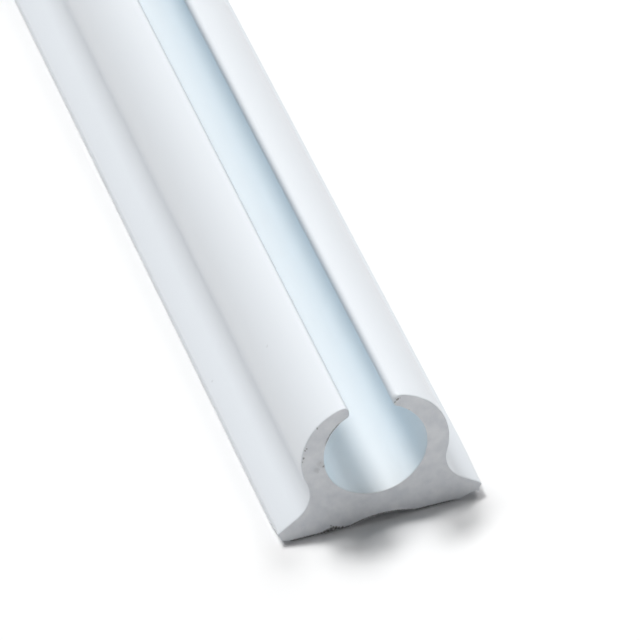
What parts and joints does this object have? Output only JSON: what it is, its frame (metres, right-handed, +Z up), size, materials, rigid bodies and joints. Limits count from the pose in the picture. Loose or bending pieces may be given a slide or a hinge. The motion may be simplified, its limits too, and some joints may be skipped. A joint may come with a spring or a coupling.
{
  "type": "awning rail",
  "caption": "Straight extruded rail with a round keyhole channel open along its top for an awning's bead, on a flat foot with thin flanges.",
  "frame": {"origin": "on the plane of the foot's underside, in the middle of the foot's width, halfway along the rail", "axes": "+X along the rail, +Y across the foot, +Z up from the foot to the channel's open mouth"},
  "size_m": [1, 0.016, 0.011],
  "materials": {
    "white_pvc": "satin"
  },
  "bodies": {
    "root": {"awning_rail": "white_pvc"}
  },
  "joints": []
}
